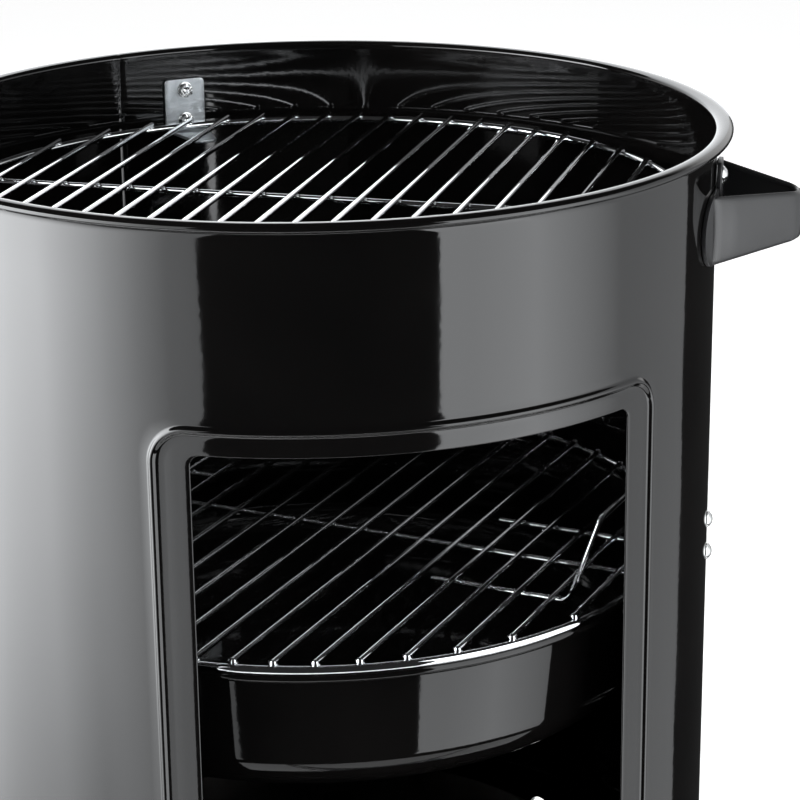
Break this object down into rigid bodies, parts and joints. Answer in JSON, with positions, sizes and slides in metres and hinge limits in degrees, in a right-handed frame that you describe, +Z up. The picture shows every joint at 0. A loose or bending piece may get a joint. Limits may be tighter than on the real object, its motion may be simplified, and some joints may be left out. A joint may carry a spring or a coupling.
{
  "type": "vertical water smoker",
  "caption": "Upright charcoal smoker: round barrel with wire grates over a water bowl, drop-down door, carrying handles, legged fire bowl and a domed lid stored behind.",
  "frame": {"origin": "on the floor, at the middle of the footprint of the whole object, lid and open door included", "axes": "+Z up; the door faces -Y; the stored lid is on the +Y side"},
  "size_m": [0.5284, 0.8088, 0.7822],
  "materials": {
    "enamel": "high-gloss black porcelain enamel on sheet steel",
    "black_paint": "satin black powder coat",
    "chrome": "bright chrome plating on steel wire and bolts",
    "zinc": "galvanised sheet, dull silver",
    "steel": "plain steel, slightly darkened by heat",
    "aluminium": "mill-finish aluminium",
    "nylon": "glass-filled black nylon",
    "dial": "stainless bezel with a pale dial"
  },
  "bodies": {
    "base": {"charcoal_bowl": "enamel", "heat_shield": "aluminium", "leg_right": "aluminium", "leg_left": "aluminium", "leg_back": "aluminium", "foot_right": "nylon", "foot_left": "nylon", "foot_back": "nylon", "leg_bolt_right_1": "chrome", "leg_bolt_right_2": "chrome", "leg_bolt_left_1": "chrome", "leg_bolt_left_2": "chrome", "leg_bolt_back_1": "chrome", "leg_bolt_back_2": "chrome"},
    "charcoal_grate": {"charcoal_grate": "steel"},
    "fuel_ring": {"fuel_ring": "steel"},
    "bowl_damper_front": {"bowl_damper_front": "aluminium"},
    "bowl_damper_right": {"bowl_damper_right": "aluminium"},
    "bowl_damper_left": {"bowl_damper_left": "aluminium"},
    "barrel": {"barrel_shell": "enamel", "upper_bracket_right": "zinc", "upper_bracket_back": "zinc", "upper_bracket_left": "zinc", "lower_bracket_right": "zinc", "lower_bracket_back": "zinc", "lower_bracket_left": "zinc", "upper_bolt_right_1": "chrome", "upper_bolt_right_2": "chrome", "upper_bolt_back_1": "chrome", "upper_bolt_back_2": "chrome", "upper_bolt_left_1": "chrome", "upper_bolt_left_2": "chrome", "lower_bolt_right_1": "chrome", "lower_bolt_right_2": "chrome", "lower_bolt_back_1": "chrome", "lower_bolt_back_2": "chrome", "lower_bolt_left_1": "chrome", "lower_bolt_left_2": "chrome", "handle_right": "black_paint", "handle_left": "black_paint", "handle_bolt_left_1": "chrome", "handle_bolt_left_2": "chrome", "door_hinge_bracket_left": "zinc", "door_hinge_bracket_right": "zinc", "lid_hanger": "zinc"},
    "upper_grate": {"upper_grate": "chrome"},
    "water_bowl": {"water_bowl": "enamel"},
    "lower_grate": {"lower_grate": "chrome", "lifting_loop_right": "chrome", "lifting_loop_left": "chrome"},
    "door": {"door_panel": "enamel", "door_hinge_leaf": "zinc"},
    "door_latch": {"door_latch_knob": "nylon", "door_latch_blade": "zinc"},
    "lid": {"lid_shell": "enamel", "lid_handle": "nylon", "lid_thermometer": "dial", "lid_hook": "zinc"},
    "lid_damper": {"lid_damper": "aluminium"}
  },
  "joints": [
    {"name": "barrel_lift", "type": "slide", "parent": "base", "child": "barrel", "axis": [0, 0, 1], "range_m": [0, 0.2]},
    {"name": "upper_grate_lift", "type": "slide", "parent": "barrel", "child": "upper_grate", "axis": [0, 0, 1], "range_m": [0, 0.1]},
    {"name": "water_bowl_lift", "type": "slide", "parent": "barrel", "child": "water_bowl", "axis": [0, 0, 1], "range_m": [0, 0.06]},
    {"name": "lower_grate_lift", "type": "slide", "parent": "water_bowl", "child": "lower_grate", "axis": [0, 0, 1], "range_m": [0, 0.06]},
    {"name": "charcoal_grate_lift", "type": "slide", "parent": "base", "child": "charcoal_grate", "axis": [0, 0, 1], "range_m": [0, 0.06]},
    {"name": "fuel_ring_lift", "type": "slide", "parent": "charcoal_grate", "child": "fuel_ring", "axis": [0, 0, 1], "range_m": [0, 0.06]},
    {"name": "lid_lift", "type": "slide", "parent": "barrel", "child": "lid", "axis": [0, 0, 1], "range_m": [0, 0.03]},
    {"name": "door_hinge", "type": "hinge", "parent": "barrel", "child": "door", "pos_m": [0, -0.28, 0.356], "axis": [-1, 0, 0], "range_deg": [0, 165]},
    {"name": "door_latch_turn", "type": "hinge", "parent": "door", "child": "door_latch", "pos_m": [0, -0.35157, 0.08116], "axis": [0, 0.9659, -0.2588], "range_deg": [0, 90]},
    {"name": "lid_damper_turn", "type": "hinge", "parent": "lid", "child": "lid_damper", "pos_m": [0, 0.34372, 0.381], "axis": [0, 0.939, -0.3439], "range_deg": [-60, 60]},
    {"name": "bowl_damper_front_turn", "type": "hinge", "parent": "base", "child": "bowl_damper_front", "pos_m": [0, -0.2685, 0.24], "axis": [0, -1, 0], "range_deg": [-60, 60]},
    {"name": "bowl_damper_right_turn", "type": "hinge", "parent": "base", "child": "bowl_damper_right", "pos_m": [0.19919, 0.0765, 0.24], "axis": [0.866, 0.5, 0], "range_deg": [-60, 60]},
    {"name": "bowl_damper_left_turn", "type": "hinge", "parent": "base", "child": "bowl_damper_left", "pos_m": [-0.19919, 0.0765, 0.24], "axis": [-0.866, 0.5, 0], "range_deg": [-60, 60]}
  ]
}
